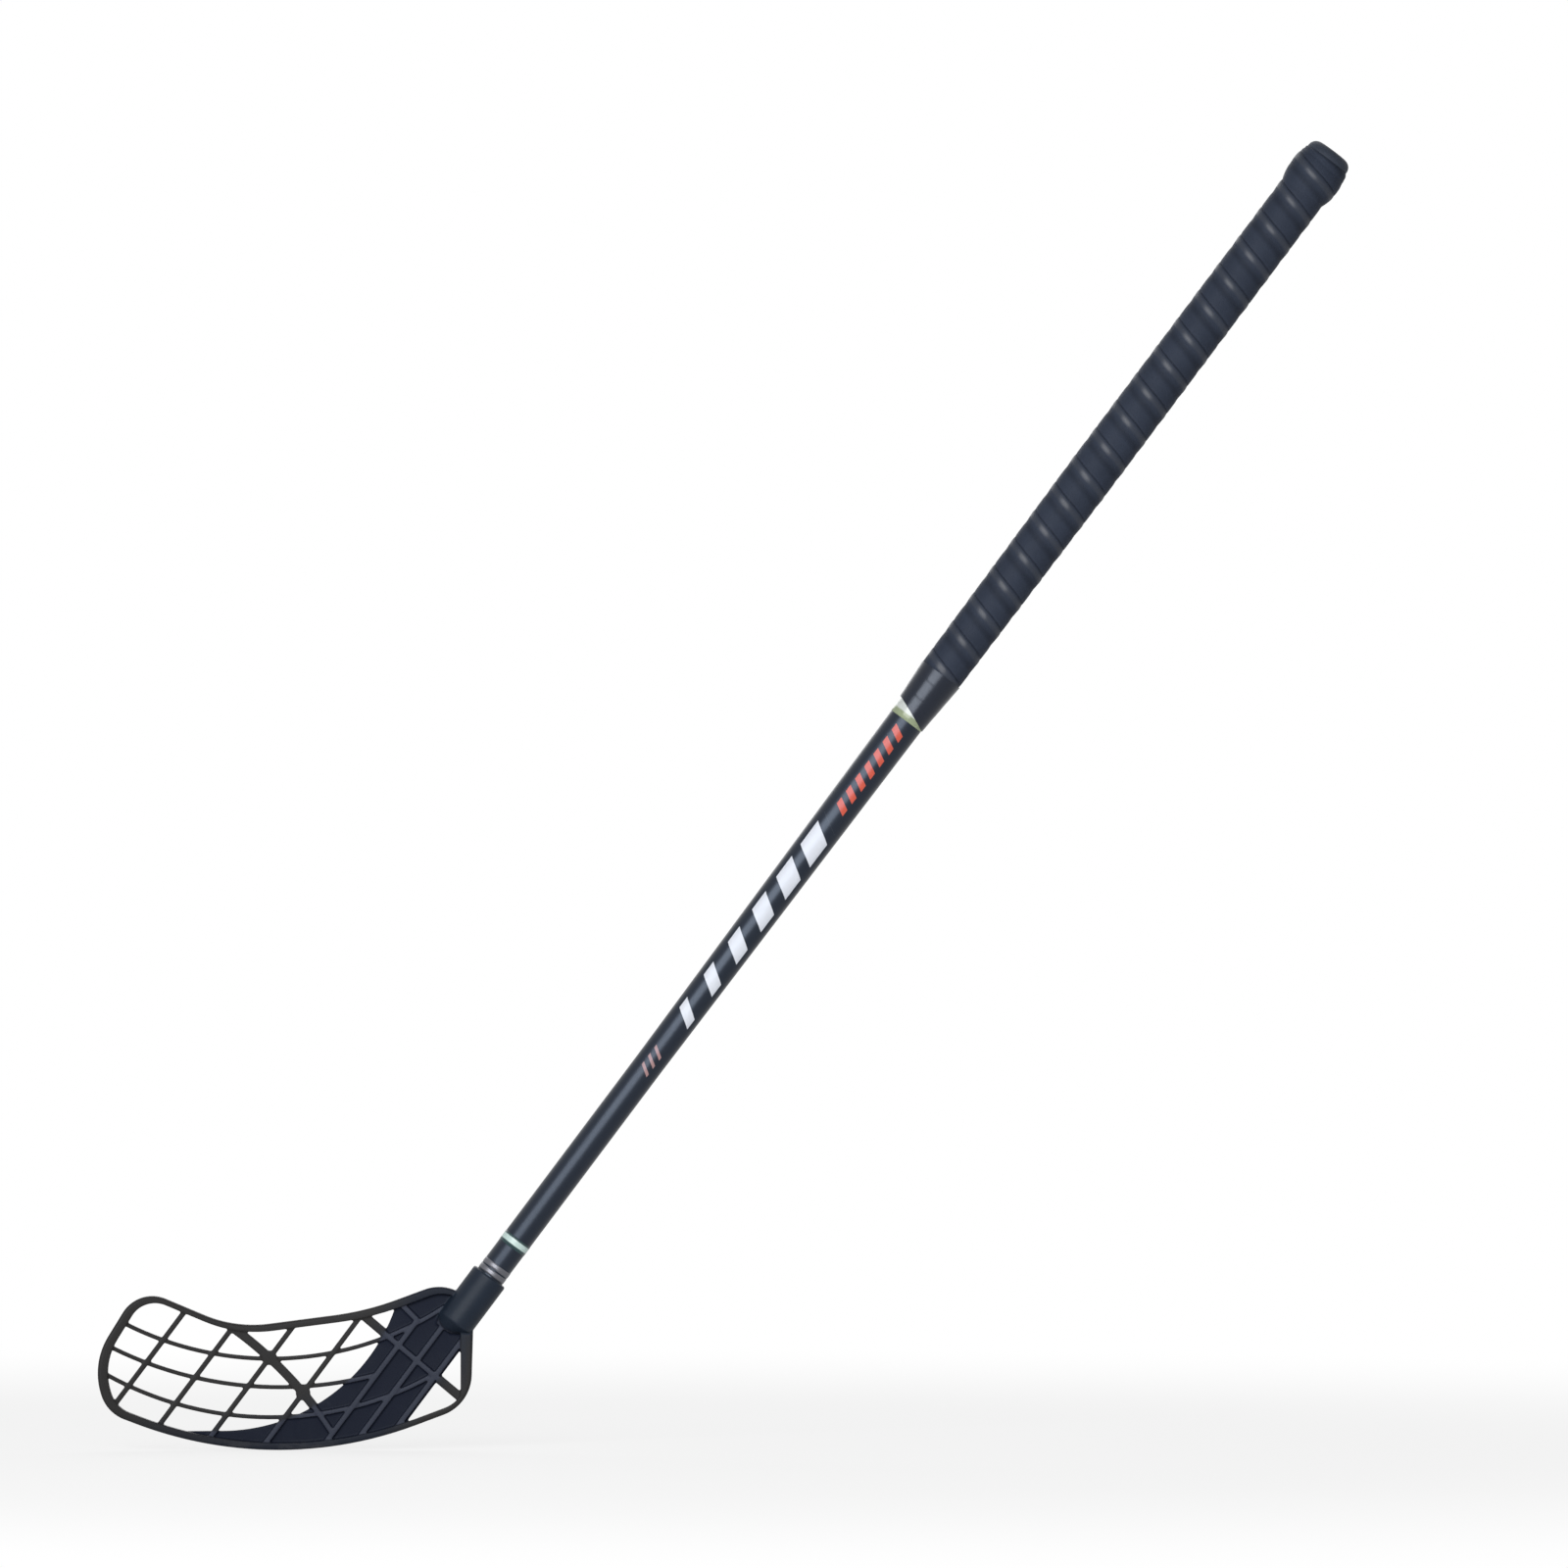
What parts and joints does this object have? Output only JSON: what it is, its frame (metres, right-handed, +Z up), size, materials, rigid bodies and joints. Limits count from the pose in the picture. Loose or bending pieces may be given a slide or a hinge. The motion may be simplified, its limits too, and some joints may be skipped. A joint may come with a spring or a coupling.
{
  "type": "floorball stick",
  "caption": "Floorball stick leaning in its playing stance: tapered tube shaft, ribbed and hooked plastic blade on a screwed socket, wound cushion grip with a swelled butt and cap.",
  "frame": {"origin": "lowest point of the blade's sole, in the middle of the blade's thickness at the heel half", "axes": "+Z up from the floor in the playing stance; +X from the toe of the blade towards the heel, the way the shaft leans; +Y to the back of the blade, so the toe hooks towards -Y"},
  "size_m": [0.8156, 0.0416, 0.8548],
  "materials": {
    "shaft_lacquer": "clear lacquer over a dark fibre composite tube",
    "blade_plastic": "moulded, low sheen",
    "screw_steel": "zinc plated",
    "cap_rubber": "moulded",
    "band_rubber": "plain",
    "grip_cushion": "soft cushioned tape, slightly tacky",
    "vinyl_tape": "glossy film",
    "pale_film": "glossy film",
    "silver_film": "metallic film"
  },
  "bodies": {
    "root": {"shaft": "shaft_lacquer", "blade": "blade_plastic", "blade_screws": "screw_steel", "end_cap": "cap_rubber", "knob_ring": "band_rubber", "grip_tape": "grip_cushion", "finishing_tape": "vinyl_tape", "upper_ring": "pale_film", "lower_ring": "pale_film", "collar_ring_lower": "silver_film", "collar_ring_upper": "silver_film"}
  },
  "joints": []
}
